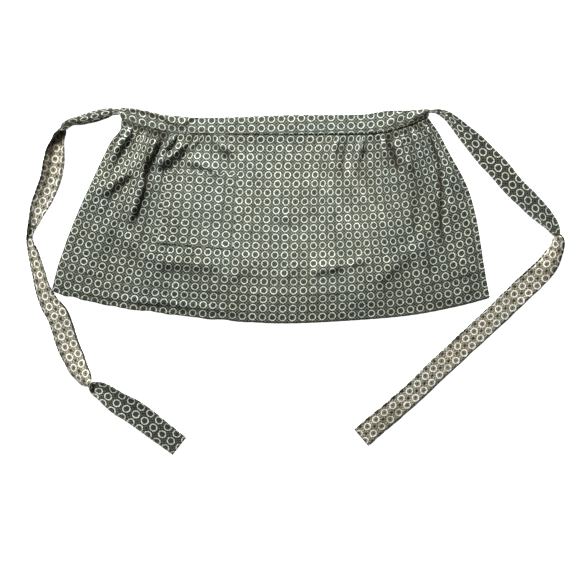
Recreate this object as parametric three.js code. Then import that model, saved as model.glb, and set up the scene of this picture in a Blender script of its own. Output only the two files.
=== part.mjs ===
// Waist apron of printed cotton, laid flat with its front up and its two ties spread out.
// Millimetres. +Z is up and Z = 0 is the surface that the apron lies on. X runs along the
// waistband, +Y points to the waistband's top edge, and the origin is under the middle of
// the whole outline.
import * as THREE from "three";

// Cloth layers
const CLOTH = 1.0;         // one layer
const HEM_LAYER = 0.8;     // what a turned hem adds on top
const GAP = 0.3;           // clearance between layers that lie on each other

// Skirt panel, sizes of the flat cloth
const SKIRT_WIDTH = 670;   // across, along the hem
const SIDE_HEM = 10;       // turned edge at each side
const HEM_SHARE = 0.85;    // where the bottom hem begins, as a share of the length
const HEM_RAMP = 0.012;    // share of the length over which the hem's edge rises
const SIDE_INSET = 2;      // the skirt's sides stand in from the band's open ends
const GATHER_START = 0.01; // share of the length at which gathers leave the band
const GATHER_FULL = 0.055; // and where they stand full
const FLANK_COLUMNS = 3;   // columns of the mesh in a fold's open flank
const LAP_COLUMNS = 4;     // and in one that lies under its crest
const LAP_TURN = 150;      // the turn from which a flank counts as lapped
const PLAIN_STEP = 24;     // widest column of the plain part of the mesh
const NARROW_STEP = 4.2;   // columns closer than this are merged
const COUNT_STEP = 1.0;    // step of the sums along a row of the cloth
const COLUMN_STEPS = 24;   // samples of a column from seam to hem
const FLANK_STEPS = 24;    // samples of a fold's flank
const OPEN_TURN = 2.06;    // angle, in radians, at which a flank of given length stands highest

// Waistband
const BAND_TURN = (CLOTH + 2 * GAP + CLOTH) / 2;   // radius of its fold, at mid-wall
const BAND_STEPS = 32;
const BAND_WALL_STEPS = 3;
const BAND_FOLD_STEPS = 4;
const TUCK = 0.34;         // share of the band's height that the skirt runs up inside it
const TUCK_END = 0.15;     // the same at the band's ends

// Ties
const TIE_WIDTH = 33;
const TIE_STEP = 20;       // longest step of the loft
const TIE_ACROSS = 8;
const SLUMP = 0.5;         // a rolled section sinks to this share of its round height

// Patch pocket, in shares of the flat skirt
const POCKET_TOP = 0.212;
const POCKET_BOTTOM = 0.622;
const POCKET_MOUTH = [0.206, 0.386];   // left and right corner at the top
const POCKET_FOOT = [0.212, 0.4];    // and at the bottom
const POCKET_HEM = 0.03;
const POCKET_COLUMNS = 12;
const POCKET_ROWS = 11;
const POCKET_EASE = 0.9;   // how far the mouth stands off the skirt in its middle

const COTTON = 0x868a7e;
const COTTON_BAND = 0x7b8074;
const COTTON_TIE = 0xa6a494;

function table(columns, rows) {
  return rows.map((row) => Object.fromEntries(columns.map((name, i) => [name, row[i]])));
}

// The band's top edge and the seam under it, from the left end to the right end.
const BAND = table(["x", "top", "seam"], [
  [-261, 260.6, 245.5],
  [-245, 260.0, 239.2],
  [-224, 256.6, 232.2],
  [-194, 250.0, 225.3],
  [-164, 247.4, 221.6],
  [-127, 245.6, 220.2],
  [-7, 249.6, 219.8],
  [94, 250.2, 220.5],
  [122, 253.6, 222.1],
  [143, 256.4, 224.4],
  [170, 256.6, 233.0],
  [188, 258.2, 241.2],
  [201, 259.0, 247.4],
]);

// The hem's lower edge, corner to corner.
const HEM = table(["x", "y"], [
  [-364.5, -15.5],
  [-291.7, -33.7],
  [-201.7, -47.2],
  [-111.7, -57.7],
  [-18.7, -63.1],
  [86.2, -58.6],
  [176.2, -50.6],
  [248.2, -36.7],
  [293.2, -24.7],
]);

// How the cloth's columns leave the seam and reach the hem, in degrees from straight down,
// at shares of the plan width.
const LEAN = table(["share", "top", "hem"], [
  [0.0, -25, -12],
  [0.22, -15, -10],
  [0.42, -4, -4],
  [0.64, 0, 0],
  [0.82, 10, 8],
  [1.0, 42, 13],
]);

// Folds of the skirt. at places the crest on the flat cloth from its left side, left and
// right are the lengths of cloth in its two flanks. The flank on the laps side (1 is the
// right) turns by turn degrees, so that past a right angle it lies under the crest; the other
// flank rises to match. The fold fades out at reach, a share of the length, and its line
// moves sideways by drift per length.
const FOLDS = table(["at", "left", "right", "turn", "laps", "reach", "drift"], [
  [24, 13, 13, 100, 1, 0.36, -6],
  [72, 30, 22, 200, 1, 0.64, 20],
  [137, 16, 16, 112, 1, 0.21, -90],
  [191, 15, 15, 108, 1, 0.21, -90],
  [237, 11, 11, 92, 1, 0.2, 90],
  [434, 14, 15, 112, 1, 0.36, -36],
  [490, 15, 15, 104, -1, 0.30, 4],
  [538, 16, 16, 112, 1, 0.46, -18],
  [589, 16, 16, 112, -1, 0.44, -16],
  [653, 20, 16, 200, -1, 0.74, -40],
]);

// Broad swells of the lower skirt: half width and place across, height, and the levels
// between which each one stands.
const SWELLS = table(["at", "half", "height", "from", "middle", "to"], [
  [48, 34, 3.2, 0.30, 0.62, 0.98],
  [150, 40, 3.4, 0.63, 0.79, 0.97],
  [262, 36, 2.4, 0.64, 0.80, 0.97],
  [418, 34, 3.2, 0.56, 0.76, 0.98],
  [505, 40, 4.0, 0.44, 0.70, 0.97],
  [572, 26, 3.6, 0.48, 0.66, 0.96],
  [636, 26, 3.2, 0.62, 0.80, 0.98],
]);

// Levels of the skirt mesh: the tuck inside the band is -1 to 0, the hem's edge is 1.
const LEVELS = [-1, 0, 0.01, 0.03, 0.055, 0.09, 0.13, 0.172, POCKET_TOP, 0.27, 0.34, 0.42, 0.52,
  POCKET_BOTTOM, 0.71, 0.79, HEM_SHARE, HEM_SHARE + HEM_RAMP, 0.93, 1];

// Sections of the ties. x and y follow the middle line, roll turns the strip about it,
// curl bends it across and gather is its flat width as a share of TIE_WIDTH.
const TIE_COLUMNS = ["x", "y", "roll", "curl", "gather"];
const TIE_LEFT = table(TIE_COLUMNS, [
  [-246, 253.0, 0, 0, 0.2],
  [-265.5, 254.2, 0, 0, 0.2],
  [-274, 254.4, 90, 150, 0.3],
  [-283, 252.8, 180, 40, 0.32],
  [-299, 248.6, 180, 0, 0.5],
  [-317, 244.0, 180, -60, 0.44],
  [-333.5, 240.0, 190, -170, 0.4],
  [-345.5, 229.5, 200, -190, 0.5],
  [-353.5, 214.0, 195, -130, 0.64],
  [-358.5, 196.0, 183, -50, 0.86],
  [-361, 173.5, 180, 0, 1],
  [-368.5, 143.5, 180, 0, 1],
  [-379, 118.0, 178, -60, 0.9],
  [-388.5, 92.5, 168, -150, 0.72],
  [-396, 67.0, 165, -210, 0.5],
  [-392, 46.0, 172, -150, 0.52],
  [-385.5, 19.0, 180, -110, 0.56],
  [-381, -4.0, 180, -90, 0.6],
  [-372.5, -28.0, 180, -50, 0.8],
  [-355.5, -52.0, 180, 0, 1],
  [-342.5, -87.5, 180, 0, 1],
  [-330, -117.5, 188, 40, 0.97],
  [-318.5, -139.0, 222, 130, 0.85],
  [-305, -154.0, 270, 200, 0.75],
  [-287, -168.0, 322, 130, 0.86],
  [-263, -187.0, 354, 40, 0.98],
  [-231, -208.0, 360, 0, 1],
  [-172.7, -247.2, 360, 0, 1],
]);
const TIE_RIGHT = table(TIE_COLUMNS, [
  [187, 252.8, 0, 0, 0.15],
  [205, 254.2, 0, 0, 0.15],
  [214.5, 253.0, 0, 30, 0.25],
  [228.5, 246.0, 0, 70, 0.44],
  [247, 228.0, 0, 60, 0.68],
  [271, 203.0, 0, 35, 0.9],
  [302, 172.0, 0, 0, 1],
  [334, 139.0, 0, 0, 1],
  [362, 110.5, -12, 40, 0.96],
  [383.5, 88.0, -45, 130, 0.86],
  [396.2, 66.0, -95, 230, 0.56],
  [390.5, 45.5, -140, 130, 0.76],
  [375.5, 23.0, -170, 40, 0.96],
  [351.5, -4.0, -180, 0, 1],
  [299, -53.5, -180, 0, 1],
  [223.5, -124.0, -180, 0, 1],
  [166.5, -178.0, -180, 0, 1],
  [100, -234.0, -180, 0, 1],
]);

const ramp = (value, low, high) => THREE.MathUtils.smoothstep(value, low, high);
const lerp = THREE.MathUtils.lerp;
const spline = (rows, key) =>
  new THREE.SplineCurve(rows.map((row) => new THREE.Vector2(row.x, row[key])));

// Value of a table's column at a place along another column, with smooth steps between rows.
function along(rows, by, key, place) {
  if (place <= rows[0][by]) return rows[0][key];
  for (let i = 1; i < rows.length; i++) {
    if (place > rows[i][by]) continue;
    return lerp(rows[i - 1][key], rows[i][key], ramp(place, rows[i - 1][by], rows[i][by]));
  }
  return rows[rows.length - 1][key];
}

// Closed shell around a grid of mid-surface points, given in columns.
function clothSolid(grid, below, above) {
  const columns = grid.length;
  const rows = grid[0].length;
  const positions = [];
  const indices = [];
  const under = new THREE.Vector3();
  const across = new THREE.Vector3();
  const down = new THREE.Vector3();
  const shell = (side) => {
    for (let i = 0; i < columns; i++) {
      for (let j = 0; j < rows; j++) {
        across.subVectors(grid[Math.min(i + 1, columns - 1)][j], grid[Math.max(i - 1, 0)][j]);
        down.subVectors(grid[i][Math.min(j + 1, rows - 1)], grid[i][Math.max(j - 1, 0)]);
        under.crossVectors(down, across).normalize();
        const reach = side > 0 ? above(i, j) : -below(i, j);
        const point = grid[i][j].clone().addScaledVector(under, reach);
        positions.push(point.x, point.y, point.z);
      }
    }
  };
  shell(1);
  shell(-1);
  const top = (i, j) => i * rows + j;
  const base = (i, j) => columns * rows + i * rows + j;
  const quad = (a, b, c, d) => indices.push(a, b, c, a, c, d);
  for (let i = 0; i + 1 < columns; i++) {
    for (let j = 0; j + 1 < rows; j++) {
      quad(top(i, j), top(i, j + 1), top(i + 1, j + 1), top(i + 1, j));
      quad(base(i, j), base(i + 1, j), base(i + 1, j + 1), base(i, j + 1));
    }
    quad(top(i, 0), top(i + 1, 0), base(i + 1, 0), base(i, 0));
    const last = rows - 1;
    quad(top(i, last), base(i, last), base(i + 1, last), top(i + 1, last));
  }
  for (let j = 0; j + 1 < rows; j++) {
    quad(top(0, j), base(0, j), base(0, j + 1), top(0, j + 1));
    const last = columns - 1;
    quad(top(last, j), top(last, j + 1), base(last, j + 1), base(last, j));
  }
  const geometry = new THREE.BufferGeometry();
  geometry.setAttribute("position", new THREE.Float32BufferAttribute(positions, 3));
  geometry.setIndex(indices);
  geometry.computeVertexNormals();
  return geometry;
}

function mesh(name, geometry, colour) {
  const material = new THREE.MeshStandardMaterial({ color: colour, roughness: 0.9 });
  const result = new THREE.Mesh(geometry, material);
  result.name = name;
  return result;
}

// Mean rise of a flank, per length of its cloth, when it turns by an angle on the way.
function flankRise(turn) {
  let sum = 0;
  for (let i = 0; i < FLANK_STEPS; i++) {
    sum += Math.sin(turn * Math.sin((Math.PI * (i + 0.5)) / FLANK_STEPS) ** 2);
  }
  return sum / FLANK_STEPS;
}

// The angle at which an open flank reaches a given rise.
function openTurn(rise) {
  let low = 0;
  let high = OPEN_TURN;
  for (let i = 0; i < 30; i++) {
    const middle = (low + high) / 2;
    if (flankRise(middle) < rise) low = middle;
    else high = middle;
  }
  return (low + high) / 2;
}

// Folds that stand at one level: crest, flank lengths and the two flank angles.
function foldsAt(level) {
  return FOLDS.map((fold) => {
    const fade = 1 - ramp(level, fold.reach * 0.25, fold.reach);
    const driven = THREE.MathUtils.degToRad(fold.turn) * fade;
    const [near, far] = fold.laps > 0 ? [fold.right, fold.left] : [fold.left, fold.right];
    const matched = openTurn((near * flankRise(driven)) / far);
    return {
      crest: fold.at + fold.drift * level,
      left: fold.left,
      right: fold.right,
      up: fold.laps > 0 ? matched : driven,
      down: fold.laps > 0 ? driven : matched,
    };
  });
}

// One row of the flat cloth, laid: the share of the row's plan width that is used up to each
// place, and the height of the folds there. The cloth keeps its length around every fold.
const rowCache = new Map();
function laidRow(level) {
  if (rowCache.has(level)) return rowCache.get(level);
  const folds = foldsAt(level);
  const steps = Math.round(SKIRT_WIDTH / COUNT_STEP);
  const step = SKIRT_WIDTH / steps;
  const run = [0];
  const climb = [0];
  for (let i = 0; i < steps; i++) {
    let angle = 0;
    for (const fold of folds) {
      const offset = (i + 0.5) * step - fold.crest;
      const share = offset / (offset < 0 ? fold.left : fold.right);
      if (Math.abs(share) >= 1) continue;
      angle += (offset < 0 ? fold.up : -fold.down) * Math.sin(Math.PI * share) ** 2;
    }
    run.push(run[i] + step * Math.cos(angle));
    climb.push(climb[i] + step * Math.sin(angle));
  }
  const read = (list, place) => {
    const at = THREE.MathUtils.clamp(place / step, 0, steps);
    const low = Math.min(steps - 1, Math.floor(at));
    return lerp(list[low], list[low + 1], at - low);
  };
  const feet = [0, SKIRT_WIDTH];
  for (const fold of folds) feet.push(fold.crest - fold.left, fold.crest + fold.right);
  feet.sort((a, b) => a - b);
  const ground = (place) => {
    for (let i = 1; i < feet.length; i++) {
      if (place > feet[i]) continue;
      const share = (place - feet[i - 1]) / Math.max(1e-6, feet[i] - feet[i - 1]);
      return lerp(read(climb, feet[i - 1]), read(climb, feet[i]), share);
    }
    return read(climb, SKIRT_WIDTH);
  };
  const row = {
    share: (place) => read(run, place) / run[steps],
    height: (place) => Math.max(0, read(climb, place) - ground(place)),
  };
  rowCache.set(level, row);
  return row;
}

function swellHeight(across, level) {
  let height = 0;
  for (const swell of SWELLS) {
    const share = (across - swell.at) / swell.half;
    const fade = ramp(level, swell.from, swell.middle) * (1 - ramp(level, swell.middle, swell.to));
    if (Math.abs(share) < 1) height += swell.height * fade * 0.5 * (1 + Math.cos(Math.PI * share));
  }
  return height;
}

const seamCurve = spline(BAND, "seam");
const topCurve = spline(BAND, "top");
const hemCurve = spline(HEM, "y");
const seamLength = seamCurve.getLength();
const seamAt = (share) =>
  seamCurve.getPointAt(lerp(SIDE_INSET, seamLength - SIDE_INSET, share) / seamLength);

// Point of one column of the cloth in plan, at a share of its length from the seam to the hem.
function columnPoint(share, from, to, level) {
  const drop = from.y - to.y;
  const slope = (key) => Math.tan(THREE.MathUtils.degToRad(along(LEAN, "share", key, share)));
  const start = new THREE.Vector2(slope("top"), -1).multiplyScalar(drop);
  const end = new THREE.Vector2(slope("hem"), -1).multiplyScalar(drop);
  const points = [];
  const lengths = [0];
  for (let i = 0; i <= COLUMN_STEPS; i++) {
    const t = i / COLUMN_STEPS;
    points.push(new THREE.Vector2()
      .addScaledVector(from, 2 * t ** 3 - 3 * t ** 2 + 1)
      .addScaledVector(start, t ** 3 - 2 * t ** 2 + t)
      .addScaledVector(to, -2 * t ** 3 + 3 * t ** 2)
      .addScaledVector(end, t ** 3 - t ** 2));
    if (i > 0) lengths.push(lengths[i - 1] + points[i].distanceTo(points[i - 1]));
  }
  const wanted = level * lengths[COLUMN_STEPS];
  let low = 0;
  while (low < COLUMN_STEPS - 1 && lengths[low + 1] < wanted) low++;
  const blend = (wanted - lengths[low]) / (lengths[low + 1] - lengths[low]);
  return points[low].clone().lerp(points[low + 1], blend);
}

// Point of the flat cloth, laid: its middle surface on the floor, in the folds or in the band.
function skirtPoint(across, level) {
  const row = laidRow(Math.max(0, level));
  const share = row.share(across);
  const from = seamAt(share);
  let plan = from;
  if (level < 0) {
    const top = along(BAND, "x", "top", from.x);
    const tuck = lerp(TUCK_END, TUCK, Math.min(1, 8 * share * (1 - share)));
    plan = new THREE.Vector2(from.x, lerp(from.y, top, -level * tuck));
  } else if (level > 0) {
    plan = columnPoint(share, from, hemCurve.getPointAt(share), level);
  }
  const lift = (CLOTH + GAP) * (1 - ramp(level, GATHER_START, GATHER_FULL));
  const fold = row.height(across) * ramp(level, GATHER_START, GATHER_FULL);
  return new THREE.Vector3(plan.x, plan.y,
    CLOTH / 2 + lift + fold + swellHeight(across, level));
}

// Extra cloth on top of the single layer, where the hems are turned.
function hemLayer(across, level) {
  const side = Math.min(across, SKIRT_WIDTH - across);
  const turned = level > 0.02
    ? Math.max(ramp(level, HEM_SHARE, HEM_SHARE + HEM_RAMP), 1 - ramp(side, SIDE_HEM, SIDE_HEM + 3))
    : 0;
  return HEM_LAYER * turned;
}

function skirtColumns() {
  const places = [0, SIDE_HEM, SIDE_HEM + 3, SKIRT_WIDTH - SIDE_HEM - 3,
    SKIRT_WIDTH - SIDE_HEM, SKIRT_WIDTH];
  for (const fold of FOLDS) {
    for (const [side, width] of [[-1, fold.left], [1, fold.right]]) {
      const lapped = side === fold.laps && fold.turn > LAP_TURN;
      const count = lapped ? LAP_COLUMNS : FLANK_COLUMNS;
      for (let i = 0; i <= count; i++) places.push(fold.at + (side * width * i) / count);
    }
  }
  const kept = [];
  const inside = places.filter((place) => place >= 0 && place <= SKIRT_WIDTH);
  for (const place of inside.sort((a, b) => a - b)) {
    const last = kept[kept.length - 1];
    if (kept.length && place < SKIRT_WIDTH && place - last < NARROW_STEP) continue;
    const gap = kept.length ? place - last : 0;
    const steps = Math.max(1, Math.ceil(gap / PLAIN_STEP));
    for (let i = 1; i <= steps; i++) kept.push((last ?? 0) + (gap * i) / steps);
  }
  return kept;
}

function skirtPanel() {
  const columns = skirtColumns();
  const grid = columns.map((across) => LEVELS.map((level) => skirtPoint(across, level)));
  return clothSolid(grid, () => CLOTH / 2, (i, j) => CLOTH / 2 + hemLayer(columns[i], LEVELS[j]));
}

// Folded strip: back wall on the floor, fold at the top, front wall over the gathers.
function waistband() {
  const grid = [];
  for (let i = 0; i <= BAND_STEPS; i++) {
    const x = lerp(BAND[0].x, BAND[BAND.length - 1].x, i / BAND_STEPS);
    const top = curveHeight(topCurve, x);
    const seam = curveHeight(seamCurve, x);
    const turn = top - CLOTH / 2 - BAND_TURN;
    const column = [];
    for (let j = 0; j <= BAND_WALL_STEPS; j++) {
      column.push(new THREE.Vector3(x, lerp(seam, turn, j / BAND_WALL_STEPS), CLOTH / 2));
    }
    for (let j = 1; j < BAND_FOLD_STEPS; j++) {
      const angle = (Math.PI * j) / BAND_FOLD_STEPS;
      column.push(new THREE.Vector3(x, turn + BAND_TURN * Math.sin(angle),
        CLOTH / 2 + BAND_TURN * (1 - Math.cos(angle))));
    }
    for (let j = BAND_WALL_STEPS; j >= 0; j--) {
      column.push(new THREE.Vector3(x, lerp(seam, turn, j / BAND_WALL_STEPS),
        CLOTH / 2 + 2 * BAND_TURN));
    }
    grid.push(column);
  }
  return clothSolid(grid, () => CLOTH / 2, () => CLOTH / 2);
}

// Height of a left-to-right curve over a place on X.
function curveHeight(curve, x) {
  let low = 0;
  let high = 1;
  for (let i = 0; i < 40; i++) {
    const middle = (low + high) / 2;
    if (curve.getPoint(middle).x < x) low = middle;
    else high = middle;
  }
  return curve.getPoint((low + high) / 2).y;
}

// Patch pocket with straight sides, parallel to the skirt and a little eased off at its mouth.
function pocket() {
  const place = (row, side) => SKIRT_WIDTH * row[side];
  const corner = (row, side, level) => skirtPoint(place(row, side), level);
  const mouthEnds = [0, 1].map((side) => corner(POCKET_MOUTH, side, POCKET_TOP));
  const footEnds = [0, 1].map((side) => corner(POCKET_FOOT, side, POCKET_BOTTOM));
  const grid = [];
  for (let i = 0; i <= POCKET_COLUMNS; i++) {
    const acrossShare = i / POCKET_COLUMNS;
    const upper = mouthEnds[0].clone().lerp(mouthEnds[1], acrossShare);
    const lower = footEnds[0].clone().lerp(footEnds[1], acrossShare);
    const column = [];
    for (let j = 0; j <= POCKET_ROWS; j++) {
      const downShare = j / POCKET_ROWS;
      const left = lerp(place(POCKET_MOUTH, 0), place(POCKET_FOOT, 0), downShare);
      const right = lerp(place(POCKET_MOUTH, 1), place(POCKET_FOOT, 1), downShare);
      const under = skirtPoint(lerp(left, right, acrossShare),
        lerp(POCKET_TOP, POCKET_BOTTOM, downShare));
      const ease = POCKET_EASE * Math.sin(Math.PI * acrossShare) * (1 - downShare) ** 2;
      const point = upper.clone().lerp(lower, downShare);
      point.z = under.z + CLOTH + GAP + ease;
      column.push(point);
    }
    grid.push(column);
  }
  const mouth = POCKET_ROWS * POCKET_HEM / (POCKET_BOTTOM - POCKET_TOP);
  return clothSolid(grid, () => CLOTH / 2,
    (i, j) => CLOTH / 2 + (j <= mouth ? HEM_LAYER : 0));
}

// Strip lofted through the rows of a tie's table. The first two rows lie in the band's slot.
function tie(rows) {
  const path = new THREE.SplineCurve(rows.map((row) => new THREE.Vector2(row.x, row.y)));
  const last = rows.length - 1;
  const places = [0];
  for (let i = 0; i < last; i++) {
    const span = Math.hypot(rows[i + 1].x - rows[i].x, rows[i + 1].y - rows[i].y);
    const steps = Math.ceil(span / TIE_STEP);
    for (let k = 1; k <= steps; k++) places.push(i + k / steps);
  }
  const grid = places.map((place) => {
    const centre = path.getPoint(place / last);
    const heading = path.getTangent(place / last);
    const side = new THREE.Vector2(-heading.y, heading.x);
    const low = Math.min(last - 1, Math.floor(place));
    const blend = (key) => lerp(rows[low][key], rows[low + 1][key], place - low);
    const roll = THREE.MathUtils.degToRad(blend("roll"));
    const curl = THREE.MathUtils.degToRad(blend("curl"));
    const width = TIE_WIDTH * blend("gather");
    const section = [];
    for (let j = 0; j <= TIE_ACROSS; j++) {
      const offset = j / TIE_ACROSS - 0.5;
      const bent = Math.abs(curl) > 0.02;
      const chord = bent ? (width / curl) * Math.sin(curl * offset) : width * offset;
      const bulge = bent ? (width / curl) * (1 - Math.cos(curl * offset)) : 0;
      section.push(new THREE.Vector2(chord * Math.cos(roll) - bulge * Math.sin(roll),
        SLUMP * (chord * Math.sin(roll) + bulge * Math.cos(roll))));
    }
    const sides = section.map((point) => point.x);
    const middle = (Math.max(...sides) + Math.min(...sides)) / 2;
    const lowest = Math.min(...section.map((point) => point.y));
    const slot = (CLOTH + GAP) * (1 - ramp(place, 1, 3));
    return section.map((point) => new THREE.Vector3(
      centre.x + side.x * (point.x - middle),
      centre.y + side.y * (point.x - middle),
      CLOTH / 2 + slot + point.y - lowest));
  });
  return clothSolid(grid, () => CLOTH / 2, () => CLOTH / 2);
}

const apron = new THREE.Group();
apron.name = "kitchen_apron";
apron.add(mesh("skirt_panel", skirtPanel(), COTTON));
apron.add(mesh("waistband", waistband(), COTTON_BAND));
apron.add(mesh("pocket", pocket(), COTTON));
apron.add(mesh("tie_left", tie(TIE_LEFT), COTTON_TIE));
apron.add(mesh("tie_right", tie(TIE_RIGHT), COTTON_TIE));

export default apron;
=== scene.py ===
import math

import bpy
import numpy as np
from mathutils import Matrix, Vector
from mathutils.bvhtree import BVHTree


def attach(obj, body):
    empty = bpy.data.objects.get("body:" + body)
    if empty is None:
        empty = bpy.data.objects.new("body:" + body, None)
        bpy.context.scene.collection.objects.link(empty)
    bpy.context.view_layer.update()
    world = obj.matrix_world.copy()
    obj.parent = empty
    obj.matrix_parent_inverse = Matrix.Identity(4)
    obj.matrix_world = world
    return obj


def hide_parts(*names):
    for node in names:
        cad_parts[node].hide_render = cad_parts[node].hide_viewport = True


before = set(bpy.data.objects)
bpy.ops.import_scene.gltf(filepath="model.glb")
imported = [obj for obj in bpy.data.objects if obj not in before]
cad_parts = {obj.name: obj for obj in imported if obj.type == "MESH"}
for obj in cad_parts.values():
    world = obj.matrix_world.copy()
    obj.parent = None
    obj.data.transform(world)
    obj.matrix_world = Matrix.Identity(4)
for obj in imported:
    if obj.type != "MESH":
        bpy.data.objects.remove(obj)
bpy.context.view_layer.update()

# Waist apron of ring-printed cotton, laid flat with its ties spread. Cloth is worked out in
# millimetres and made in metres. The print is drawn by nodes on the flat cloth's own
# coordinates, so it follows every gather and fold. A level of the skirt is a share of its
# length, 0 at the waistband's seam and 1 at the hem. A zone runs from none to all of something.
MM = 0.001

# Camera straight above, lights (name, place, size, power) and floor, in metres but for the view
VIEW_WIDTH = 870.0
VIEW_CENTRE = (-6.75, -12.75)
LENS = 60.0
SENSOR = 36.0
LIGHTS = [("key", (-0.69, 2.10, 1.19), 0.5, 158.0), ("fill", (0.2, -0.3, 2.0), 1.6, 5.0)]
WORLD_LIGHT = 0.17
FLOOR_HALF = 4.0
FLOOR_Z = -0.0002
FLOOR_GLOW = 0.9

# Cloth
CLOTH = 0.7  # one layer
HEM_LAYER = 0.5  # what a turned hem adds
LAYER_STEP = 1.3  # height of one layer over another
FLOOR_REST = 0.5  # middle of a layer that lies on the floor
FLOOR_GAP = 0.15  # least room under the skirt

# Skirt, sizes of the flat cloth
SKIRT_WIDTH = 670.0
SKIRT_LENGTH = 282.0
SKIRT_COLUMNS = 370
SKIRT_ROWS = 112
SIDE_INSET = 2.0
TUCK = 0.34  # how far up the waistband the skirt's edge is tucked
TUCK_END = 0.15
TUCK_RISE = 8.0
# How far the side edges bow: distance, level, spread, zone of columns
SIDE_BOWS = [(6.0, 0.07, 0.045, 70.0, 0.0), (-6.0, 0.24, 0.13, SKIRT_WIDTH - 80, SKIRT_WIDTH)]

# Skirt, hems
SIDE_HEM = 10.0
SIDE_HEM_RAMP = 3.0
HEM_SHARE = 0.85  # level of the hem's inner edge
HEM_RAMP = 0.012
HEM_FINE = (-0.012, 0.03, 0.003)  # finer rows there: from, to, step
HEM_PULL = 0.6  # drop of the face at the hem's stitches
HEM_PULL_REACH = 0.07
HEM_ZONE = (0.93, 1.0)  # the hem's outer edge
HEM_TOP = 0.02  # level where the side hems start
HEM_ROLL = 6.0  # how much of the left hem's print is hidden as if rolled under; the cloth is not rolled
ROLL_ZONE = (290.0, 130.0)
FRAY_ZONE = (340.0, 260.0)

# Skirt, gathers and height
GATHER_ZONE = (0.01, 0.055)
GATHERS = [(130, 95), (545, 105)]  # middle and spread of the gathered stretches
OPEN_TURN = 2.06
FOLD_HOLD = 0.25  # share of its reach where a fold keeps its full turn
LEAST_TURN = 0.02
EASE_REACH = 46.0  # half width over which a faded fold's cloth is eased in
EASE_LENGTH = 70.0  # skirt's length in the noise of the waves there, so that they run down it
PUCKER_LENGTH = 40.0  # the same for the puckers under the seam
PUCKER_ZONES = ((0.0, 0.03), (0.2, 0.06))
LAID_OVER = 1.6  # how far the laid cloth stands off the floor
LAID_EDGE = 0.8  # share of that which is lost at the edges
LAID_SIDE = (18.0, 0.0)
LAID_ZONE = (0.02, 0.08)
HIGHEST = 11.0  # folds taller than this are pressed down
PRESSED = 0.35  # share of the rest that they keep

# Creases, painted shade and light, and the washed out middle
CREASE_END = (-0.12, 0.22)  # zone at both ends of a crease, as a share of its length
CREASE_OVERRUN = 0.5  # share of its last stretch by which a crease runs on
FROM_LIGHT = np.array((0.31, -0.95))
LIGHT_BLUR = 0.3  # how softly a crease's lit side turns into its dark one
HOLLOW_SHADE = 0.14  # painted shade: darkening for each millimetre that a crease is deep, and painted light on crests
# powers of red, green and blue that tint the painted shade
SHADE_TINT = (0.96, 1.0, 1.15)
HOLLOW_REACH = (7, 5)  # columns and rows around a place that a hollow is measured over
POCKET_HOLLOW = (5, 5)
UNSHADED = 0.5  # what the fade layer holds where no shade is painted
# least and most that the fade layer holds for painted shade and light
SHADE_RANGE = (0.0, 1.3)
WASHED_LIT_MIDDLE = (-25, 105)  # the washed out middle of the apron: partly real fading, partly painted light, the cloth around it painted darker
WASHED_LIT_SIZE = (200, 135)
WASHED_LIT_ZONE = (1.1, 0.6)

# Waistband
BAND_TURN = 1.3
BAND_COLUMNS = 260
WALL_ROWS = 15
TURN_ROWS = 10
BAND_GATHERS = [(-190, 55), (135, 50)]
BAND_WAVE = (0.30, 0.45)  # height of the waves, plain and added by the gathers
BAND_DIP = -0.35  # the deepest of them
WAVE_LEFT = 0.6  # share of the waves that is left at the seam
SEAM_PLAIN = 0.3  # share of the puckers above the seam outside the gathers
SEAM_STRETCH = 0.2
SEAM_REACH = (0.55, 0.0)
SEAM_DROP = np.array((0, 0, 0, 0.25, 0.7))  # last rows pulled down by the seam
LEFT_DROP = np.array((0.2, 0.5, 0.8, 0.9, 0.8))  # and more at the left
LEFT_ZONE = (-60, -110)

# Pocket
POCKET_CORNERS = ((-191.4, 167.0), (-84.5, 160.9), (-205.4, 57.1), (-92.3, 46.7))
POCKET_CELLS = 60
POCKET_EASE = 0.9  # how far the mouth stands open
POCKET_EDGE = 0.15  # half the thickness of the pressed edge
POCKET_GAP = 0.06
POCKET_BODY = 0.25  # what the cloth inside the edge and the mouth's hem add
POCKET_RIM = (0.0, 5.0)
POCKET_MOUTH = (0.08, 0.065)
POCKET_WAVE_RISE = 6.0
BRIDGE_ROUNDS = 6  # how often the cloth is drawn over the skirt's hollows
BRIDGE_ZONE = (0.0, 8.0)
MOUTH_ROUND = 0.6

# Ties. Zones along them are counted in the rows of their tables
TIE_WIDTH = 33.0
TIE_HEM = 2.6
TIE_HEM_RAMP = 0.4
TIE_HEM_LAYER = 0.4
TIE_STEP = 2.2
TIE_COLUMNS = 31
TIE_FINE = 0.012  # finer columns on both sides of a hem's edge
GATHER_RANGE = (0.14, 1.2)
LEAST_CURL = 0.02
SLUMP = 0.5  # how far a tie stood on edge has sunk
SLOT_ZONE = (1, 3)  # where it leaves the waistband's slot
FREE_ZONE = (0.6, 2.0)  # where it is free to ripple
RIPPLE = 0.45  # middle height of the ripples
PLEAT_LENGTH = 0.12
CRUMPLE = (1.15, 0.8)  # share of the width below which a tie crumples, and the most it does
SQUEEZE_ZONE = (5.0, 8.0)  # where the print is squeezed with the cloth, and how much
SQUEEZE = 0.7
END_HEM = 1.2  # how much narrower the end's hem shows
LEFT_SEED = 51
RIGHT_SEED = 71
LEFT_OVER = (13.8, 15.05)  # rows between which the left tie shows the print of an edge folded over it; the cloth is not folded
RIGHT_LEAN = 0.9  # how much wider one hem of the right tie shows than the other

# Stitches
STITCH_LENGTH = 2.3
STITCH_PITCH = 3.2
STITCH_END = 1.0
STITCH_SPOTS = np.array((0, 0.18, 0.5, 0.82, 1.0))
STITCH_LIFT = np.array((-0.25, 0.12, 0.2, 0.12, -0.25))
THREAD = 0.22
THREAD_SIDES = 5

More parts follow.
